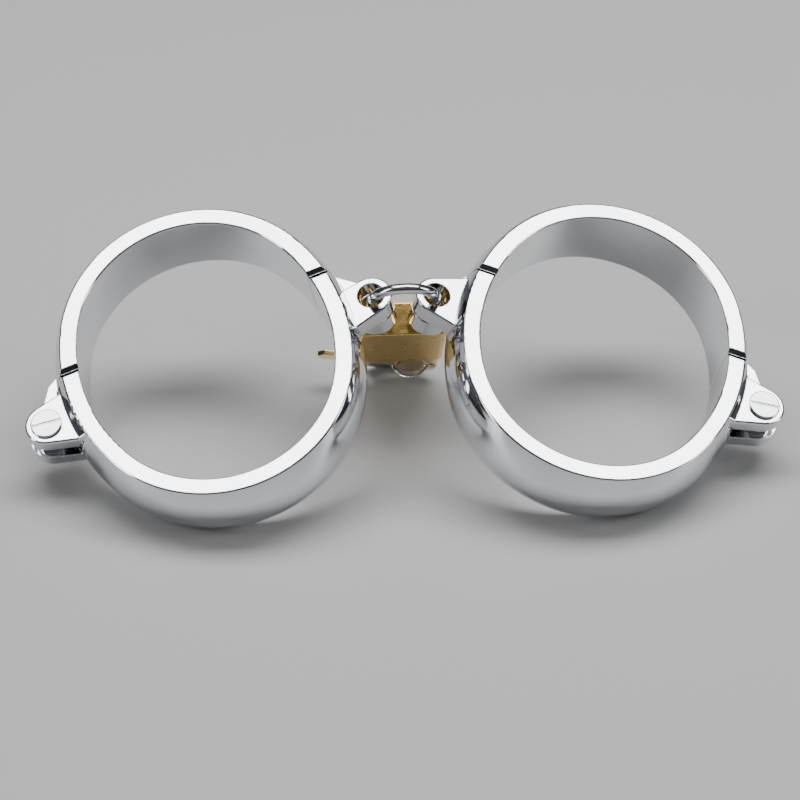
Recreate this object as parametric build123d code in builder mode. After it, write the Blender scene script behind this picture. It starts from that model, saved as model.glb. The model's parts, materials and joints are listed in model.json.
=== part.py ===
from build123d import *
import os
from math import asin, cos, degrees, radians, sin, sqrt

# Two rigid wrist cuffs, each a hinged pair of cast halves, held shut together by one
# small brass padlock. The cuffs lean on the floor on their front edges; their lugs hang
# on the padlock's shackle, and the padlock stands on the bow of the key in its keyway.
# World frame: X along the pair, +Y towards the back, +Z up, floor at Z = 0. Millimetres.
# side is +1 for the left cuff (lug towards +x) and -1 for the right cuff (its mirror).

ALIGN_UP = (Align.CENTER, Align.CENTER, Align.MIN)
BOX_UP = ALIGN_UP
ALONG_X = (0, 90, 0)   # turns an upright cylinder to point along +x
ALONG_Y = (-90, 0, 0)  # turns an upright cylinder to point along +y

# ---- cuff band: a four-arc oval, hinge on one short side and lug on the other ----
HALF_WIDTH = 30.0      # centre to inner wall, towards hinge and lug
HALF_LENGTH = 35.0     # centre to inner wall, across
END_RADIUS = 28.5      # inner radius of the two end arcs
BAND_HEIGHT = 17.6
RIM_WIDTH = 4.1        # flat top and bottom rims
DOME = 2.4             # how far the outer wall bulges beyond the rims
EDGE_ROUND = 0.5
SPLIT_Y = 8.2          # the straight parting line between the halves
SPLIT_GAP = 0.4
NOTCH_WIDTH = 2.4      # V notch where the parting line meets the rims
NOTCH_DEPTH = 1.3

END_OFFSET = HALF_LENGTH - END_RADIUS
SIDE_RADIUS = (HALF_WIDTH**2 + END_OFFSET**2 - END_RADIUS**2) / (2 * (HALF_WIDTH - END_RADIUS))
SIDE_OFFSET = SIDE_RADIUS - HALF_WIDTH
TANGENT_ANGLE = degrees(asin(END_OFFSET / (SIDE_RADIUS - END_RADIUS)))
OUTER_OFFSET = RIM_WIDTH + DOME

# ---- hinge and lugs, one stack of plates at the middle of the band ----
STACK_HEIGHT = 10.2
STACK_LOW = (BAND_HEIGHT - STACK_HEIGHT) / 2
STACK_HIGH = STACK_LOW + STACK_HEIGHT
PIVOT = (-41.1, -1.0)  # hinge pin
EAR_RADIUS = 5.2
EAR_HEIGHT = 3.3
EAR_ROOTS = ((-33.0, 5.8), (-32.5, -8.6))
KNUCKLE_RADIUS = 4.1
ARM_RADIUS = 2.9       # where the swinging half's arm leaves the knuckle
KNUCKLE_GAP = 0.15
PIN_RADIUS = 1.5
HEAD_RADIUS = 3.8
HEAD_HEIGHT = 0.7
LUG_CENTRE = (41.3, -1.0)
LUG_RADIUS = 5.0
LUG_HOLE = 3.35
LUG_GAP = 0.6
LUG_HEIGHT = (STACK_HEIGHT - LUG_GAP) / 2
FULL_LUG_ROOTS = ((33.0, 7.4), (32.5, -8.2))
CUT_LUG_ROOTS = ((33.5, 2.6), (32.5, -8.2))
SWING_LUG_ROOTS = ((36.0, 9.8), (34.0, 11.6))
KNUCKLE_ROOTS = ((-37.3, 10.0), (-33.5, 12.5))
CLEARANCE = 0.35       # between the outer wall of one half and the plates of the other

# ---- how each cuff leans ----
SPIN = 17.8            # hinge-to-lug line turned out of X, hinge end forward
CUFF_X, CUFF_Y = -0.03, 3.46      # midway between the two cuffs
CUFF_SPREAD = 44.6     # from there to each cuff's centre
LEFT_LEAN, LEFT_TILT = 9.5, 25.5
RIGHT_LEAN, RIGHT_TILT = 10.0, 23.5

# ---- padlock: x right, y back, z up from the middle of the body's underside ----
LOCK_TILT = 37.5
LOCK_ORIGIN = (-0.03, 24.46, 12.71)
BODY_WIDTH, BODY_DEPTH, BODY_HEIGHT = 22.0, 8.4, 20.7
CORNER_ROUND, RIM_ROUND = 1.6, 0.4
LEG_X = 7.6            # each shackle leg from the middle
WIRE_RADIUS = 1.25
LEG_BORE = 1.4
SHACKLE_TOP = 43.9     # highest point of the closed shackle
HEEL_END, TOE_END = 6.1, 12.6      # lower ends of the closed shackle's legs
LIFT = 8.4             # travel of the shackle
LATCH_Z, LATCH_RADIUS, LATCH_BORE = 17.3, 1.2, 1.3
LATCH_REACH = 0.45     # how far the latch enters the shackle's notch
ECCENTRIC = 1.5        # radius of the cam pin's path; it goes from 135 to 45 degrees
CAM_PIN = 0.6
HEEL_PIN_X, HEEL_PIN_Z, HEEL_PIN = 6.3, 16.4, 0.7
SPRING_LOW = 1.2
PLUG_RADIUS, PLUG_BORE, PLUG_TOP = 3.2, 3.25, 10.8
CAM_RADIUS, CAM_TOP = 2.6, 15.7
RETAINER_X, RETAINER_Z, RETAINER = 2.95, 9.8, 0.45
GROOVE_RADIUS = 2.45
PIN_HEIGHTS = (2.6, 5.2, 7.8)
KEY_CUTS = (0.9, 0.35, 1.2)        # depth of the key's cut under each pin
CHAMBER, PIN = 1.0, 0.9            # radii
DRIVER_LINE, DRIVER_LENGTH, PLUG_LENGTH = 3.35, 2.2, 1.8
LATCH_LENGTH, LATCH_CHANNEL = 8.2, 15.9
PIN_LINE = 3.0         # outer ends of the key pins when the right key is in

# ---- keys and ring, in the padlock's frame, hanging below its underside ----
BLADE_WIDTH, BLADE_THICKNESS, BLADE_TOP = 5.0, 1.6, 10.2
NECK_WIDTH, NECK_LENGTH = 6.0, 3.2
BOW_WIDTH, BOW_LENGTH = 14.5, 12.1
KEY_HOLE_X, KEY_HOLE_FROM_END, KEY_HOLE = -0.5, 5.3, 1.6
SPARE_RADIUS, SPARE_THICKNESS, SPARE_LENGTH = 5.25, 1.2, 24.5
SPARE_CENTRE = (4.9, -2.6, -6.15)
SPARE_YAW, SPARE_PITCH = 4.8, 7.9
SPARE_HOLE = (-3.2, -0.5)
RING_RADIUS, RING_WIRE, RING_TILT = 5.0, 0.45, 0.11


def oval_face(offset):
    """The inner oval grown by offset, as a face."""
    side_r, end_r = SIDE_RADIUS + offset, END_RADIUS + offset
    end_sweep = 180 - 2 * TANGENT_ANGLE
    with BuildSketch(mode=Mode.PRIVATE) as face:
        with BuildLine():
            CenterArc((-SIDE_OFFSET, 0), side_r, -TANGENT_ANGLE, 2 * TANGENT_ANGLE)
            CenterArc((0, END_OFFSET), end_r, TANGENT_ANGLE, end_sweep)
            CenterArc((SIDE_OFFSET, 0), side_r, 180 - TANGENT_ANGLE, 2 * TANGENT_ANGLE)
            CenterArc((0, -END_OFFSET), end_r, 180 + TANGENT_ANGLE, end_sweep)
        make_face()
    return face.sketch


def band_arc(centre, radius, start, sweep):
    """One stretch of the band, its D-shaped section turned about an upright axis."""
    radial = Vector(cos(radians(start)), sin(radians(start)), 0)
    tangent = Vector(sin(radians(start)), -cos(radians(start)), 0)
    rim = radius + RIM_WIDTH
    with BuildPart() as arc:
        with BuildSketch(Plane(origin=(*centre, 0), x_dir=radial, z_dir=tangent)) as section:
            with BuildLine():
                Polyline((rim, 0), (radius, 0), (radius, BAND_HEIGHT), (rim, BAND_HEIGHT))
                ThreePointArc((rim, BAND_HEIGHT), (rim + DOME, BAND_HEIGHT / 2), (rim, 0))
            make_face()
            fillet(section.vertices(), EDGE_ROUND)
        revolve(axis=Axis((*centre, 0), (0, 0, 1)), revolution_arc=sweep)
    return arc.part


def whole_band():
    """The closed oval band with its four rim notches, before it is parted."""
    end_sweep = 180 - 2 * TANGENT_ANGLE
    with BuildPart() as band:
        add(band_arc((-SIDE_OFFSET, 0), SIDE_RADIUS, -TANGENT_ANGLE, 2 * TANGENT_ANGLE))
        add(band_arc((0, END_OFFSET), END_RADIUS, TANGENT_ANGLE, end_sweep))
        add(band_arc((SIDE_OFFSET, 0), SIDE_RADIUS, 180 - TANGENT_ANGLE, 2 * TANGENT_ANGLE))
        add(band_arc((0, -END_OFFSET), END_RADIUS, 180 + TANGENT_ANGLE, end_sweep))
        for rim, depth in ((BAND_HEIGHT, -NOTCH_DEPTH), (0, NOTCH_DEPTH)):
            with BuildSketch(Plane.YZ) as notch:
                with BuildLine():
                    Polyline(
                        (SPLIT_Y - NOTCH_WIDTH / 2, rim),
                        (SPLIT_Y, rim + depth),
                        (SPLIT_Y + NOTCH_WIDTH / 2, rim),
                        close=True,
                    )
                make_face()
            extrude(amount=60, both=True, mode=Mode.SUBTRACT)
    return band.part


def plate(centre, radius, roots, low, height):
    """A rounded plate round centre that widens to its roots inside the band."""
    with BuildPart() as body:
        with BuildSketch(Plane.XY.offset(low)):
            with Locations(centre):
                Circle(radius)
            with Locations(*roots):
                Circle(0.4)
            make_hull()
        extrude(amount=height)
    return body.part


def bore(centre, radius):
    """A cylinder right through the height of the band, to be cut away."""
    with BuildPart() as hole:
        with Locations((*centre, BAND_HEIGHT / 2)):
            Cylinder(radius, 2 * BAND_HEIGHT)
    return hole.part


def oval_prism(offset, low, height):
    """The oval grown by offset and raised, to keep plates clear of a wall."""
    with BuildPart() as prism:
        with BuildSketch(Plane.XY.offset(low)):
            add(oval_face(offset))
        extrude(amount=height)
    return prism.part


def half_band(band, keep_upper):
    """The part of the band on one side of the parting line."""
    shift = SPLIT_GAP / 2 if keep_upper else -SPLIT_GAP / 2
    with BuildPart() as half:
        add(band)
        split(
            bisect_by=Plane(origin=(0, SPLIT_Y + shift, 0), z_dir=(0, 1, 0)),
            keep=Keep.TOP if keep_upper else Keep.BOTTOM,
        )
    return half.part


def fixed_half(band, lug_roots):
    """The longer, front half: two hinge ears and the upper lug."""
    with BuildPart() as half:
        for low in (STACK_LOW, STACK_HIGH - EAR_HEIGHT):
            add(plate(PIVOT, EAR_RADIUS, EAR_ROOTS, low, EAR_HEIGHT))
        add(plate(LUG_CENTRE, LUG_RADIUS, lug_roots, STACK_HIGH - LUG_HEIGHT, LUG_HEIGHT))
        fillet(half.edges().filter_by(Plane.XY).group_by(Axis.Z)[-1], 0.55)
        add(oval_prism(RIM_WIDTH / 2, 0, BAND_HEIGHT), mode=Mode.SUBTRACT)
        add(half_band(band, keep_upper=False))
        add(bore(PIVOT, PIN_RADIUS + 0.01), mode=Mode.SUBTRACT)
        add(bore(LUG_CENTRE, LUG_HOLE), mode=Mode.SUBTRACT)
    return half.part


def fixed_side_envelope():
    """Everything the swinging half must keep clear of: the fixed side of the band, grown."""
    with BuildPart() as envelope:
        add(oval_prism(OUTER_OFFSET + CLEARANCE, 0, BAND_HEIGHT))
        split(
            bisect_by=Plane(origin=(0, SPLIT_Y + SPLIT_GAP / 2, 0), z_dir=(0, 1, 0)),
            keep=Keep.BOTTOM,
        )
    return envelope.part


def swing_half(band):
    """The shorter, back half: the hinge knuckle and the lower lug."""
    knuckle_low = STACK_LOW + EAR_HEIGHT + KNUCKLE_GAP
    knuckle_height = STACK_HEIGHT - 2 * (EAR_HEIGHT + KNUCKLE_GAP)
    with BuildPart() as half:
        add(plate(PIVOT, ARM_RADIUS, KNUCKLE_ROOTS, knuckle_low, knuckle_height))
        with Locations((*PIVOT, knuckle_low)):
            Cylinder(KNUCKLE_RADIUS, knuckle_height, align=ALIGN_UP)
        add(plate(LUG_CENTRE, LUG_RADIUS, SWING_LUG_ROOTS, STACK_LOW, LUG_HEIGHT))
        add(fixed_side_envelope(), mode=Mode.SUBTRACT)
        add(oval_prism(RIM_WIDTH / 2, 0, BAND_HEIGHT), mode=Mode.SUBTRACT)
        add(half_band(band, keep_upper=True))
        add(bore(PIVOT, PIN_RADIUS + 0.05), mode=Mode.SUBTRACT)
        add(bore(LUG_CENTRE, LUG_HOLE), mode=Mode.SUBTRACT)
    return half.part


def hinge_pin():
    """A headed pin with a slot in its upper head, riveted over below."""
    with BuildPart() as pin:
        with BuildSketch(Plane.XY.offset(STACK_LOW)):
            with Locations(PIVOT):
                Circle(PIN_RADIUS)
        extrude(amount=STACK_HEIGHT)
        for low in (STACK_LOW - HEAD_HEIGHT, STACK_HIGH):
            with BuildSketch(Plane.XY.offset(low)):
                with Locations(PIVOT):
                    Circle(HEAD_RADIUS)
            extrude(amount=HEAD_HEIGHT)
        rims = pin.edges().filter_by(GeomType.CIRCLE).group_by(Axis.Z)
        fillet(rims[0] + rims[-1], 0.3)
        with BuildSketch(Plane.XY.offset(STACK_HIGH + HEAD_HEIGHT)):
            with Locations(PIVOT):
                Rectangle(2 * HEAD_RADIUS, 0.45, rotation=-8)
        extrude(amount=-0.15, mode=Mode.SUBTRACT)
    return pin.part


def leaning_plane(side, lean, tilt):
    """A cuff's plane: leant outwards by lean and to the front by tilt, then spun."""
    a, b, turn = radians(lean), radians(tilt), radians(side * SPIN)
    normal = Vector(-side * sin(a), -cos(a) * sin(b), cos(a) * cos(b))
    across = (Vector(1, 0, 0) - normal * normal.X).normalized()
    x_dir = across * cos(turn) + normal.cross(across) * sin(turn)
    return Plane(origin=(0, 0, 0), x_dir=x_dir, z_dir=normal)


def padlock_body():
    """The drilled brass block."""
    top = BODY_HEIGHT
    with BuildPart() as body:
        with BuildSketch():
            RectangleRounded(BODY_WIDTH, BODY_DEPTH, CORNER_ROUND)
        extrude(amount=top)
        fillet(body.faces().filter_by(Axis.Z).edges(), RIM_ROUND)
        # leg bores from the top
        with Locations((LEG_X, 0, SPRING_LOW), (-LEG_X, 0, TOE_END - 0.5)):
            Cylinder(LEG_BORE, top, align=ALIGN_UP, mode=Mode.SUBTRACT)
        # plug bore from below, and the smaller cavity for the cam above it
        Cylinder(PLUG_BORE, PLUG_TOP + 0.1, align=ALIGN_UP, mode=Mode.SUBTRACT)
        with Locations((0, 0, PLUG_TOP)):
            Cylinder(CAM_RADIUS + 0.2, CAM_TOP + 2.2 - PLUG_TOP, align=ALIGN_UP, mode=Mode.SUBTRACT)
        # latch channel, drilled from the left side past the toe bore
        with Locations((-BODY_WIDTH / 2, 0, LATCH_Z)):
            Cylinder(
                LATCH_BORE, LATCH_CHANNEL, rotation=ALONG_X, align=ALIGN_UP, mode=Mode.SUBTRACT
            )
        # pin chambers from the left side
        with Locations(*[(-BODY_WIDTH / 2, 0, z) for z in PIN_HEIGHTS]):
            Cylinder(CHAMBER, 9.0, rotation=ALONG_X, align=ALIGN_UP, mode=Mode.SUBTRACT)
        # cross holes for the heel pin and the plug retainer
        with Locations((HEEL_PIN_X, 0, HEEL_PIN_Z)):
            Cylinder(HEEL_PIN, BODY_DEPTH, rotation=ALONG_Y, mode=Mode.SUBTRACT)
        with Locations((RETAINER_X, BODY_DEPTH / 2 - 3, RETAINER_Z)):
            Cylinder(RETAINER, 6, rotation=ALONG_Y, mode=Mode.SUBTRACT)
    return body.part


def shackle():
    """A bent wire with a long heel leg on the right and a short toe leg on the left."""
    bend = SHACKLE_TOP - WIRE_RADIUS - LEG_X
    with BuildPart() as wire:
        with BuildLine() as path:
            Line((LEG_X, 0, HEEL_END), (LEG_X, 0, bend))
            ThreePointArc((LEG_X, 0, bend), (0, 0, bend + LEG_X), (-LEG_X, 0, bend))
            Line((-LEG_X, 0, bend), (-LEG_X, 0, TOE_END))
        with BuildSketch(Plane(origin=path.line @ 0, z_dir=path.line % 0)):
            Circle(WIRE_RADIUS)
        sweep()
        chamfer(wire.edges().filter_by(GeomType.CIRCLE).group_by(Axis.Z)[0], 0.3)
        chamfer(wire.edges().filter_by(GeomType.CIRCLE).filter_by_position(
            Axis.Z, TOE_END - 0.01, TOE_END + 0.01), 0.3)
        # latch notch in the toe leg, heel-pin flat in the heel leg
        inner = LEG_X - WIRE_RADIUS
        with Locations((-inner - 0.6 + 2, 0, (TOE_END + 1.2 + LATCH_Z + 1.4) / 2)):
            Box(4, 4, LATCH_Z + 1.4 - TOE_END - 1.2, mode=Mode.SUBTRACT)
        flat_low = HEEL_PIN_Z - HEEL_PIN - LIFT - 0.1
        with Locations((HEEL_PIN_X + HEEL_PIN + 0.15 - 2, 0, flat_low)):
            Box(4, 4, HEEL_PIN_Z + HEEL_PIN + 0.2 - flat_low, align=BOX_UP, mode=Mode.SUBTRACT)
    return wire.part


def sleeve(centre, outer, inner, length, rotation=(0, 0, 0)):
    """A close-wound spring as a plain sleeve."""
    with BuildPart() as coil:
        with Locations(centre):
            Cylinder(outer, length, rotation=rotation, align=ALIGN_UP)
            Cylinder(inner, length, rotation=rotation, align=ALIGN_UP, mode=Mode.SUBTRACT)
    return coil.part


def rod(centre, radius, length, rotation=(0, 0, 0), ease=0.15):
    """A plain pin from centre along its axis, eased at both ends."""
    with BuildPart() as pin:
        with Locations(centre):
            Cylinder(radius, length, rotation=rotation, align=ALIGN_UP)
        chamfer(pin.edges().filter_by(GeomType.CIRCLE), ease)
    return pin.part


def latch():
    """The sliding bolt, with the cross slot that the cam pin pushes."""
    tip = -(LEG_X - WIRE_RADIUS) - LATCH_REACH
    start = -ECCENTRIC * cos(radians(45))
    with BuildPart() as bolt:
        add(rod((tip, 0, LATCH_Z), LATCH_RADIUS, LATCH_LENGTH, ALONG_X, 0.2))
        with Locations((start, 2, LATCH_Z - LATCH_RADIUS)):
            Box(2 * CAM_PIN + 0.2, 3.4, 1.7, align=BOX_UP, mode=Mode.SUBTRACT)
    return bolt.part


def plug():
    """The turning cylinder: keyway from below, pin holes from the left, groove on top."""
    with BuildPart() as core:
        with Locations((0, 0, 0.2)):
            Cylinder(PLUG_RADIUS, PLUG_TOP - 0.2, align=ALIGN_UP)
        with BuildSketch(Plane.XY.offset(0.2)):
            Rectangle(BLADE_WIDTH + 0.3, BLADE_THICKNESS + 0.3)
        extrude(amount=BLADE_TOP + 0.1, mode=Mode.SUBTRACT)
        with Locations(*[(-PLUG_RADIUS - 0.5, 0, z) for z in PIN_HEIGHTS]):
            Cylinder(PIN + 0.05, 3, rotation=ALONG_X, align=ALIGN_UP, mode=Mode.SUBTRACT)
        with BuildSketch(Plane.XZ):
            with Locations((GROOVE_RADIUS + 1, RETAINER_Z)):
                Rectangle(2, 2 * RETAINER + 0.1)
        revolve(axis=Axis.Z, mode=Mode.SUBTRACT)
    return core.part


def cam():
    """The shaft on top of the plug, with the eccentric pin that draws the latch."""
    place = ECCENTRIC * cos(radians(45))
    with BuildPart() as shaft:
        with Locations((0, 0, PLUG_TOP + 0.02)):
            Cylinder(CAM_RADIUS, CAM_TOP - PLUG_TOP - 0.02, align=ALIGN_UP)
        with Locations((-place, place, CAM_TOP)):
            Cylinder(CAM_PIN, 2.0, align=ALIGN_UP)
    return shaft.part


def main_key():
    """The key in the keyway: cut blade, neck, and a bow that is rounder on its right."""
    half, neck = BOW_WIDTH / 2, NECK_WIDTH / 2
    low, top = -NECK_LENGTH - BOW_LENGTH, -NECK_LENGTH
    with BuildPart() as key:
        with BuildSketch(Plane.XZ) as outline:
            with BuildLine():
                Polyline((-half, low + 2.5), (-half, top - 1.0), (-neck, top), (-neck, -0.4))
                Polyline((-neck, -0.4), (neck, -0.4), (neck, top), (half - 1.5, top - 1.6))
                ThreePointArc((half - 1.5, top - 1.6), (half, top - 5), (half - 3.6, low + 1.2))
                ThreePointArc((half - 3.6, low + 1.2), (0, low), (-half + 2.5, low + 0.8))
                Line((-half + 2.5, low + 0.8), (-half, low + 2.5))
            make_face()
            with Locations((KEY_HOLE_X, low + KEY_HOLE_FROM_END)):
                Circle(KEY_HOLE, mode=Mode.SUBTRACT)
        extrude(amount=BLADE_THICKNESS / 2, both=True)
        chamfer(key.edges().filter_by(GeomType.CIRCLE).filter_by(lambda e: e.is_closed), 0.25)
        with BuildSketch(Plane.XZ) as blade:
            with BuildLine():
                edge = BLADE_WIDTH / 2
                points = [(edge, -0.6), (edge, BLADE_TOP - 1.2), (edge - 1.2, BLADE_TOP)]
                points += [(-edge + 2.2, BLADE_TOP)]
                for z, cut in reversed(list(zip(PIN_HEIGHTS, KEY_CUTS))):
                    points += [(-edge + cut, z + 1.05), (-edge + cut, z - 1.05)]
                points += [(-edge, 1.0), (-edge, -0.6)]
                Polyline(*points, close=True)
            make_face()
        extrude(amount=BLADE_THICKNESS / 2, both=True)
    return key.part


def spare_plane():
    """The plane the spare key lies in; its x runs from the bow to the tip."""
    a, b = radians(SPARE_YAW), radians(SPARE_PITCH)
    x_dir = Vector(-cos(a) * cos(b), sin(a) * cos(b), sin(b))
    normal = Vector(-sin(a), -cos(a), 0)
    return Plane(origin=SPARE_CENTRE, x_dir=x_dir, z_dir=normal)


def spare_key():
    """The second key: a round bow with its hole at the far side, and a cut blade."""
    thin = SPARE_THICKNESS / 2
    with BuildPart() as key:
        with BuildSketch(spare_plane()) as outline:
            Circle(SPARE_RADIUS)
            with BuildLine():
                Polyline(
                    (3, -1.9), (9.5, -1.9), (10.6, -1.0), (12.0, -1.0), (13.0, -1.9),
                    (14.0, -0.7), (15.6, -0.7), (16.8, -1.6), (17.8, -0.3), (19.6, -0.3),
                    (20.6, -1.4), (SPARE_LENGTH - 1.4, -1.4), (SPARE_LENGTH, 0.4),
                    (SPARE_LENGTH - 1.2, 1.9), (3, 1.9),
                    close=True,
                )
            make_face()
            with Locations(SPARE_HOLE):
                Circle(1.25, mode=Mode.SUBTRACT)
        extrude(amount=thin, both=True)
        chamfer(key.edges().filter_by(GeomType.CIRCLE).filter_by(lambda e: e.is_closed), 0.25)
    return key.part


def key_ring():
    """A small closed ring through the holes of both keys."""
    low = -NECK_LENGTH - BOW_LENGTH
    first = Vector(KEY_HOLE_X, 0, low + KEY_HOLE_FROM_END)
    second = spare_plane().from_local_coords(Vector(*SPARE_HOLE, 0))
    chord = second - first
    along = chord.normalized()
    across = Vector(0, -1, RING_TILT)
    across = (across - along * across.dot(along)).normalized()
    centre = first + chord / 2 - across * sqrt(RING_RADIUS**2 - (chord.length / 2) ** 2)
    x_dir = (first - centre).normalized()
    plane = Plane(origin=centre, x_dir=x_dir, z_dir=along.cross(across))
    with BuildPart() as ring:
        with BuildLine(plane):
            CenterArc((0, 0), RING_RADIUS, 0, 360)
        with BuildSketch(Plane(origin=plane.origin + x_dir * RING_RADIUS, z_dir=plane.y_dir)):
            Circle(RING_WIRE)
        sweep()
    return ring.part


def resting(part, plane, x, y):
    """The plane moved to x, y and lifted until the part just stands on the floor."""
    with BuildPart() as trial:
        with Locations(plane.location):
            add(part)
    low = trial.part.bounding_box().min.Z
    return Plane(origin=(x, y, -low), x_dir=plane.x_dir, z_dir=plane.z_dir)


def key_pins():
    """Three pins in the plug, each standing on its own cut in the key."""
    with BuildPart() as pins:
        for height, cut in zip(PIN_HEIGHTS, KEY_CUTS):
            length = PIN_LINE - BLADE_WIDTH / 2 + cut - 0.02
            add(rod((-PIN_LINE, 0, height), PIN, length, ALONG_X, 0.1))
    return pins.part


def row_of_rods(start, radius, length):
    """One equal rod in each pin chamber, from start towards the plug."""
    with BuildPart() as rods:
        for height in PIN_HEIGHTS:
            add(rod((start, 0, height), radius, length, ALONG_X, 0.1))
    return rods.part


def row_of_sleeves(start, end):
    """One close-wound spring in each pin chamber."""
    with BuildPart() as coils:
        for height in PIN_HEIGHTS:
            add(sleeve((start, 0, height), 0.85, 0.5, end - start, ALONG_X))
    return coils.part


def save(name, part, plane):
    """Move a finished piece from its own frame to its place and write it."""
    with BuildPart() as node:
        with Locations(plane.location):
            add(part)
    node.part.label = name
    export_step(node.part, f"parts/{name}.step")
    box = node.part.bounding_box()
    print(f"{name:20s} {node.part.volume:9.1f} {len(node.part.solids())} "
          f"{box.min.X:8.2f}{box.min.Y:8.2f}{box.min.Z:8.2f} "
          f"{box.max.X:8.2f}{box.max.Y:8.2f}{box.max.Z:8.2f} {node.part.is_valid}")
    return box


os.makedirs("parts", exist_ok=True)
band = whole_band()
left_plane = leaning_plane(1, LEFT_LEAN, LEFT_TILT)
right_plane = leaning_plane(-1, RIGHT_LEAN, RIGHT_TILT)
left_fixed_part = fixed_half(band, CUT_LUG_ROOTS)
right_fixed_part = mirror(fixed_half(band, FULL_LUG_ROOTS), about=Plane.YZ)
swing_part = swing_half(band)
pin_part = hinge_pin()
left_plane = resting(left_fixed_part, left_plane, CUFF_X - CUFF_SPREAD, CUFF_Y)
right_plane = resting(right_fixed_part, right_plane, CUFF_X + CUFF_SPREAD, CUFF_Y)
lock_tilt = radians(LOCK_TILT)
lock = Plane(origin=LOCK_ORIGIN, x_dir=(1, 0, 0), z_dir=(0, -sin(lock_tilt), cos(lock_tilt)))
for plane in (left_plane, right_plane, lock):
    print("plane", plane.origin, plane.x_dir, plane.y_dir, plane.z_dir)

half_width = BODY_WIDTH / 2
latch_end = -(LEG_X - WIRE_RADIUS) - LATCH_REACH + LATCH_LENGTH
channel_end = -half_width + LATCH_CHANNEL
in_cuffs = {
    "left_fixed_half": (left_fixed_part, left_plane),
    "left_swing_half": (swing_part, left_plane),
    "left_hinge_pin": (pin_part, left_plane),
    "right_fixed_half": (right_fixed_part, right_plane),
    "right_swing_half": (mirror(swing_part, about=Plane.YZ), right_plane),
    "right_hinge_pin": (mirror(pin_part, about=Plane.YZ), right_plane),
}
in_lock = {
    "padlock_body": padlock_body(),
    "shackle": shackle(),
    "shackle_spring": sleeve((LEG_X, 0, SPRING_LOW), 1.25, 0.8, HEEL_END - SPRING_LOW),
    "heel_pin": rod(
        (HEEL_PIN_X, -BODY_DEPTH / 2 + 0.1, HEEL_PIN_Z), HEEL_PIN - 0.01, BODY_DEPTH - 0.2, ALONG_Y
    ),
    "latch": latch(),
    "latch_spring": sleeve((latch_end, 0, LATCH_Z), 1.1, 0.7, channel_end - latch_end, ALONG_X),
    "latch_channel_plug": rod(
        (-half_width + 0.05, 0, LATCH_Z), LATCH_BORE - 0.01, 1.8, ALONG_X
    ),
    "plug": plug(),
    "plug_retainer": rod(
        (RETAINER_X, BODY_DEPTH / 2 - 6, RETAINER_Z), RETAINER - 0.01, 5.9, ALONG_Y, 0.1
    ),
    "cam": cam(),
    "key_pins": key_pins(),
    "driver_pins": row_of_rods(-DRIVER_LINE - DRIVER_LENGTH, PIN, DRIVER_LENGTH),
    "pin_springs": row_of_sleeves(-half_width + PLUG_LENGTH, -DRIVER_LINE - DRIVER_LENGTH),
    "chamber_plugs": row_of_rods(-half_width + 0.05, CHAMBER - 0.01, PLUG_LENGTH - 0.05),
    "key": main_key(),
    "spare_key": spare_key(),
    "key_ring": key_ring(),
}
for name, (piece, plane) in in_cuffs.items():
    save(name, piece, plane)
for name, piece in in_lock.items():
    save(name, piece, lock)
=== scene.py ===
"""Two polished wrist cuffs held together by a small brass padlock with its keys."""
import json
import math

import bmesh
import bpy
from mathutils import Matrix, Vector


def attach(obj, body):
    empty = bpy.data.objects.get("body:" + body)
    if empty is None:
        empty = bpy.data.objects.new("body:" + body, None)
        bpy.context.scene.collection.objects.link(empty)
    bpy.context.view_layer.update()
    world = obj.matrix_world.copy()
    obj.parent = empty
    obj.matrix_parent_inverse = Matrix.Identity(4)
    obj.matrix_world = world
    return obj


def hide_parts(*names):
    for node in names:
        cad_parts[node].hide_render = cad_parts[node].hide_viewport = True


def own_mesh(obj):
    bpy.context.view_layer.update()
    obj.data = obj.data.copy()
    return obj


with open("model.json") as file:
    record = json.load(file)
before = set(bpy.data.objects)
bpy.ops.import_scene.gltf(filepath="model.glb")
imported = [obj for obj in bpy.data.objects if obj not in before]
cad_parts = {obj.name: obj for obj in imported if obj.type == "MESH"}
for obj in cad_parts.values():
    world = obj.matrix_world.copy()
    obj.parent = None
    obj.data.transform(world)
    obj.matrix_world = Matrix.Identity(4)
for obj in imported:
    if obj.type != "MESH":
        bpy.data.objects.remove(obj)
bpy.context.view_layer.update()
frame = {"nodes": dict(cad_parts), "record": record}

nodes = frame["nodes"]

# ---- camera: seen from in front and above, through a long lens ----
AZIMUTH, ELEVATION, ROLL = math.radians(4.376), math.radians(35.13), math.radians(0.857)
CAMERA_AT = Vector((-0.0591, -0.7605, 0.5502))
LENS, SENSOR = 174.94, 36      # millimetres


def make_camera():
    ahead = Vector((
        math.sin(AZIMUTH) * math.cos(ELEVATION),
        math.cos(AZIMUTH) * math.cos(ELEVATION),
        -math.sin(ELEVATION),
    ))
    level = ahead.cross(Vector((0, 0, 1))).normalized()
    upright = level.cross(ahead)
    right = level * math.cos(ROLL) + upright * math.sin(ROLL)
    up = right.cross(ahead)
    data = bpy.data.cameras.new("camera")
    data.sensor_width = SENSOR
    data.lens = LENS
    data.clip_start = 0.01
    data.clip_end = 20
    camera = bpy.data.objects.new("camera", data)
    turn = Matrix((right, up, -ahead)).transposed().to_4x4()
    camera.matrix_world = Matrix.Translation(CAMERA_AT) @ turn
    bpy.context.collection.objects.link(camera)
    bpy.context.scene.camera = camera


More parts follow.
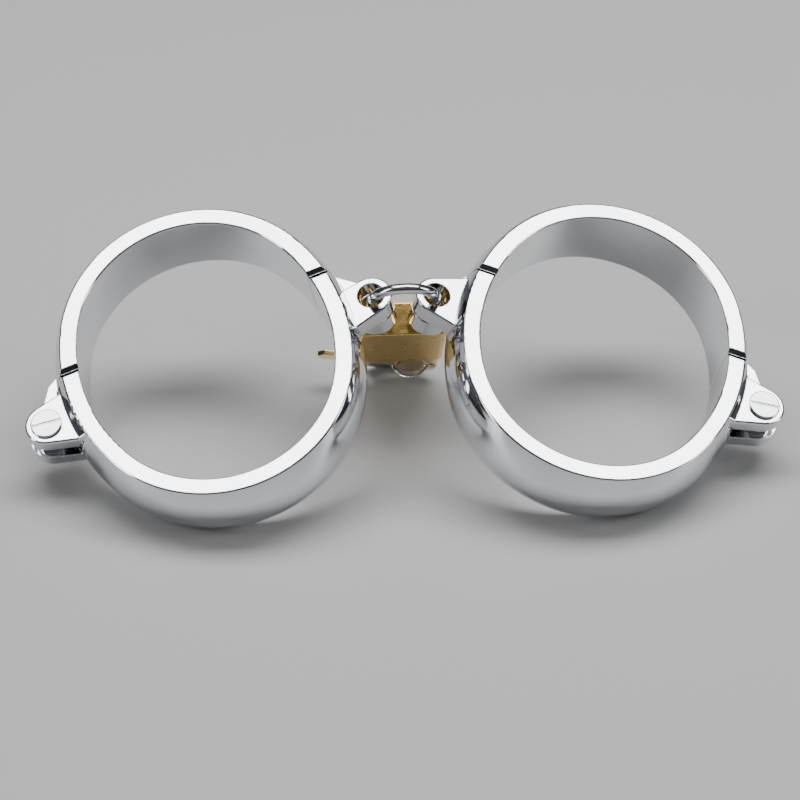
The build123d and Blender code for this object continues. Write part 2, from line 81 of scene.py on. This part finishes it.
# ---- materials ----
class Shader:
    """A small helper round one material's node tree."""

    def __init__(self, name):
        self.material = bpy.data.materials.new(name)
        self.material.use_nodes = True
        self.tree = self.material.node_tree
        self.bsdf = self.tree.nodes["Principled BSDF"]
        self.coords = self.add("ShaderNodeTexCoord").outputs["Object"]

    def add(self, kind, **values):
        node = self.tree.nodes.new(kind)
        for key, value in values.items():
            setattr(node, key, value)
        return node

    def link(self, output, target):
        self.tree.links.new(output, target)

    def stretched(self, scale, rotation=(0, 0, 0)):
        turn = self.add("ShaderNodeMapping")
        turn.inputs["Rotation"].default_value = rotation
        self.link(self.coords, turn.inputs["Vector"])
        squeeze = self.add("ShaderNodeMapping")
        squeeze.inputs["Scale"].default_value = scale
        self.link(turn.outputs["Vector"], squeeze.inputs["Vector"])
        return squeeze.outputs["Vector"]

    def noise(self, scale, detail=3.0, vector=None, roughness=0.5):
        node = self.add("ShaderNodeTexNoise")
        node.inputs["Scale"].default_value = scale
        node.inputs["Detail"].default_value = detail
        node.inputs["Roughness"].default_value = roughness
        self.link(vector or self.coords, node.inputs["Vector"])
        return node.outputs["Fac"]

    def spread(self, value, low, high, start=0.3, end=0.7):
        node = self.add("ShaderNodeMapRange")
        node.inputs["From Min"].default_value = start
        node.inputs["From Max"].default_value = end
        node.inputs["To Min"].default_value = low
        node.inputs["To Max"].default_value = high
        self.link(value, node.inputs["Value"])
        return node.outputs["Result"]

    def blend(self, factor, first, second):
        node = self.add("ShaderNodeMix", data_type="RGBA")
        self.link(factor, node.inputs["Factor"])
        for value, socket in ((first, node.inputs[6]), (second, node.inputs[7])):
            if isinstance(value, tuple):
                socket.default_value = (*value, 1)
            else:
                self.link(value, socket)
        return node.outputs[2]

    def multiply(self, value, share):
        node = self.add("ShaderNodeMath", operation="MULTIPLY")
        self.link(value, node.inputs[0])
        node.inputs[1].default_value = share
        return node.outputs[0]

    def edge_highlight_mask(self, radius):
        """Mask for the painted edge highlight: 1 on sharp outer edges, 0 on open faces, from how
        far a bevel turns the normal.
        """
        bevel = self.add("ShaderNodeBevel", samples=6)
        bevel.inputs["Radius"].default_value = radius
        geometry = self.add("ShaderNodeNewGeometry")
        dot = self.add("ShaderNodeVectorMath", operation="DOT_PRODUCT")
        self.link(bevel.outputs["Normal"], dot.inputs[0])
        self.link(geometry.outputs["Normal"], dot.inputs[1])
        return self.spread(dot.outputs["Value"], 1.0, 0.0, 0.80, 0.99)

    def relief(self, layers, bevel_radius):
        """Bumps stacked on a normal that is rounded at the edges."""
        bevel = self.add("ShaderNodeBevel", samples=6)
        bevel.inputs["Radius"].default_value = bevel_radius
        normal = bevel.outputs["Normal"]
        for height, strength, distance in layers:
            bump = self.add("ShaderNodeBump")
            bump.inputs["Strength"].default_value = strength
            bump.inputs["Distance"].default_value = distance
            self.link(height, bump.inputs["Height"])
            self.link(normal, bump.inputs["Normal"])
            normal = bump.outputs["Normal"]
        self.link(normal, self.bsdf.inputs["Normal"])


# noise scales, in waves per metre, and how the hairlines and the scratches are stretched
TINT_SCALE, FILM_SCALE, WAVE_SCALE = 70, 210, 55
PLAIN_GRAIN = ((1400, 90, 260), (0.5, 0.3, 0.8))
SCRATCHES = ((120, 1500, 300), (0.9, 0.2, 0.4))
# how strongly the painted highlight lightens the colour on sharp edges
EDGE_HIGHLIGHT_SHARE = 0.8


def metal(name, base, edge_highlight, rough, grain=None, dull=None, edge_radius=0.0003, wave=0.12):
    """A metal with uneven polish, hairline scratches, a painted highlight that lightens the sharp
    edges, and dull film.
    """
    shade = Shader(name)
    shade.bsdf.inputs["Metallic"].default_value = 1.0
    tint = shade.noise(TINT_SCALE, 4)
    film = shade.noise(FILM_SCALE, 6, roughness=0.65)
    colour = shade.blend(shade.spread(tint, 0.0, 1.0), base, dull or base)
    # painted highlight: the sharp edges are tinted towards a lighter colour
    edges = shade.multiply(shade.edge_highlight_mask(edge_radius), EDGE_HIGHLIGHT_SHARE)
    colour = shade.blend(edges, colour, edge_highlight)
    shade.link(colour, shade.bsdf.inputs["Base Color"])
    along = shade.stretched(*(grain or PLAIN_GRAIN))
    hairline = shade.noise(1.0, 5, along, 0.7)
    crossed = shade.stretched(*SCRATCHES)
    scratch = shade.noise(1.0, 4, crossed, 0.75)
    low, high = rough
    finish = shade.add("ShaderNodeMath", operation="MAXIMUM")
    shade.link(shade.spread(film, low, high, 0.38, 0.72), finish.inputs[0])
    shade.link(shade.spread(scratch, low, high * 0.9, 0.55, 0.85), finish.inputs[1])
    shade.link(finish.outputs[0], shade.bsdf.inputs["Roughness"])
    shade.relief(
        (
            (shade.noise(WAVE_SCALE, 2), wave, 0.0006),
            (hairline, 0.06 if grain is None else 0.35, 0.00002),
            (film, 0.05, 0.00004),
        ),
        edge_radius,
    )
    return shade.material


LOCK_TURN = math.radians(37.5)      # how far the padlock leans back
cuff_chrome = metal(
    "cuff_chrome", (0.80, 0.81, 0.83), (0.93, 0.94, 0.95), (0.035, 0.13), dull=(0.70, 0.71, 0.74)
)
shackle_steel = metal(
    "shackle_steel", (0.74, 0.75, 0.76), (0.90, 0.90, 0.90), (0.07, 0.22), dull=(0.62, 0.63, 0.65)
)
pin_steel = metal(
    "pin_steel", (0.66, 0.67, 0.69), (0.88, 0.88, 0.89), (0.10, 0.28), dull=(0.50, 0.51, 0.53)
)
spring_steel = metal(
    "spring_steel", (0.42, 0.42, 0.43), (0.70, 0.70, 0.71), (0.20, 0.40), dull=(0.30, 0.30, 0.31)
)
body_brass = metal(
    "body_brass", (0.86, 0.60, 0.20), (0.98, 0.80, 0.42), (0.16, 0.34),
    grain=((60, 1700, 1700), (LOCK_TURN, 0, 0)), dull=(0.76, 0.50, 0.15), edge_radius=0.0004,
    wave=0.05,
)
plug_brass = metal(
    "plug_brass", (0.78, 0.57, 0.24), (0.95, 0.80, 0.48), (0.16, 0.34), dull=(0.56, 0.40, 0.17)
)
key_nickel = metal(
    "key_nickel", (0.62, 0.58, 0.50), (0.86, 0.82, 0.72), (0.14, 0.34),
    grain=((1700, 60, 1700), (LOCK_TURN, 0, 0)), dull=(0.44, 0.40, 0.33),
)
key_brass = metal(
    "key_brass", (0.86, 0.70, 0.40), (0.99, 0.90, 0.66), (0.12, 0.30),
    grain=((60, 1700, 1700), (LOCK_TURN, 0, 0)), dull=(0.66, 0.50, 0.25),
)
LOOKS = {
    "cuff_chrome": cuff_chrome,
    "shackle_steel": shackle_steel,
    "pin_steel": pin_steel,
    "spring_steel": spring_steel,
    "body_brass": body_brass,
    "plug_brass": plug_brass,
    "key_nickel": key_nickel,
    "key_brass": key_brass,
}


def dress(obj, material):
    obj.data.materials.clear()
    obj.data.materials.append(material)


for subpart in frame["record"]["subparts"]:
    dress(nodes[subpart["node"]], LOOKS[subpart["material_slot"]])


# ---- coil springs inside the padlock, in its own leaning frame (millimetres) ----
LOCK_FRAME = Matrix.Translation((-0.00003, 0.02446, 0.01271)) @ Matrix.Rotation(LOCK_TURN, 4, "X")
COIL_STEPS, WIRE_SIDES = 28, 10


def add_coil(mesh, start, along, length, radius, wire, turns):
    """One helical spring: a wire tube wound round the line from start."""
    along = Vector(along)
    across = Vector((0, 1, 0))
    third = along.cross(across)
    rings = []
    steps = int(turns * COIL_STEPS)
    for step in range(steps + 1):
        share = step / steps
        angle = share * turns * 2 * math.pi
        outward = across * math.cos(angle) + third * math.sin(angle)
        middle = Vector(start) + along * (wire + share * (length - 2 * wire)) + outward * radius
        ring = []
        for side in range(WIRE_SIDES):
            turn = side / WIRE_SIDES * 2 * math.pi
            point = middle + (outward * math.cos(turn) + along * math.sin(turn)) * wire
            ring.append(mesh.verts.new(LOCK_FRAME @ (point / 1000)))
        rings.append(ring)
    for first, second in zip(rings, rings[1:]):
        for side in range(WIRE_SIDES):
            other = (side + 1) % WIRE_SIDES
            mesh.faces.new((first[side], first[other], second[other], second[side]))
    mesh.faces.new(rings[0][::-1])
    mesh.faces.new(rings[-1])


def make_spring(name, node, coils):
    mesh = bmesh.new()
    for coil in coils:
        add_coil(mesh, *coil)
    bmesh.ops.recalc_face_normals(mesh, faces=mesh.faces)
    data = bpy.data.meshes.new(name)
    mesh.to_mesh(data)
    mesh.free()
    for face in data.polygons:
        face.use_smooth = len(face.vertices) == 4
    piece = bpy.data.objects.new(name, data)
    bpy.context.collection.objects.link(piece)
    dress(piece, spring_steel)
    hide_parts(node)
    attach(piece, "padlock")
    return piece


ALONG_X, ALONG_Z = (1, 0, 0), (0, 0, 1)
PIN_HEIGHTS = (2.6, 5.2, 7.8)
LATCH_START, LATCH_LENGTH, LATCH_HEIGHT = 1.4, 3.5, 17.3
# each coil: start, direction, length, coil radius, wire radius, turns
make_spring("shackle_coil", "shackle_spring", [((7.6, 0, 1.2), ALONG_Z, 4.9, 1.02, 0.2, 6)])
make_spring(
    "pin_coils", "pin_springs",
    [((-9.2, 0, height), ALONG_X, 3.65, 0.66, 0.15, 6) for height in PIN_HEIGHTS],
)
latch_coil = make_spring(
    "latch_coil", "latch_spring",
    [((LATCH_START, 0, LATCH_HEIGHT), ALONG_X, LATCH_LENGTH, 0.9, 0.17, 4)],
)
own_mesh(latch_coil)


# ---- floor and light ----
FLOOR_HALF = 6
FLOOR_GREY = 0.50


def make_floor():
    data = bpy.data.meshes.new("floor")
    grid = bmesh.new()
    bmesh.ops.create_grid(grid, x_segments=8, y_segments=8, size=FLOOR_HALF)
    grid.to_mesh(data)
    grid.free()
    floor = bpy.data.objects.new("floor", data)
    bpy.context.collection.objects.link(floor)
    shade = Shader("floor")
    shade.bsdf.inputs["Base Color"].default_value = (FLOOR_GREY, FLOOR_GREY, FLOOR_GREY, 1)
    shade.bsdf.inputs["Roughness"].default_value = 0.42
    dress(floor, shade.material)


def area_light(name, place, target, size, power):
    data = bpy.data.lights.new(name, "AREA")
    data.shape = "RECTANGLE"
    data.size, data.size_y = size
    data.energy = power
    light = bpy.data.objects.new(name, data)
    aim = Vector(target) - Vector(place)
    turn = aim.to_track_quat("-Z", "Y").to_matrix().to_4x4()
    light.matrix_world = Matrix.Translation(place) @ turn
    bpy.context.collection.objects.link(light)


def make_world():
    world = bpy.data.worlds.new("studio")
    world.use_nodes = True
    bpy.context.scene.world = world
    tree = world.node_tree
    background = tree.nodes["Background"]
    coords = tree.nodes.new("ShaderNodeTexCoord")
    split = tree.nodes.new("ShaderNodeSeparateXYZ")
    ramp = tree.nodes.new("ShaderNodeValToRGB")
    tree.links.new(coords.outputs["Generated"], split.inputs[0])
    tree.links.new(split.outputs["Z"], ramp.inputs["Fac"])
    tree.links.new(ramp.outputs["Color"], background.inputs["Color"])
    ramp.color_ramp.elements[0].position = 0.0
    ramp.color_ramp.elements[0].color = (0.03, 0.03, 0.035, 1)
    ramp.color_ramp.elements[1].position = 0.85
    ramp.color_ramp.elements[1].color = (0.42, 0.43, 0.45, 1)
    background.inputs["Strength"].default_value = 0.30


make_camera()
make_floor()
make_world()
area_light("overhead", (0.06, 0.14, 0.85), (0.06, 0.14, 0.02), (1.05, 0.42), 10.5)
area_light("left", (-0.75, -0.30, 0.35), (0, 0, 0.02), (0.18, 0.6), 2.2)
area_light("right", (0.80, -0.20, 0.40), (0, 0, 0.02), (0.20, 0.5), 2.2)
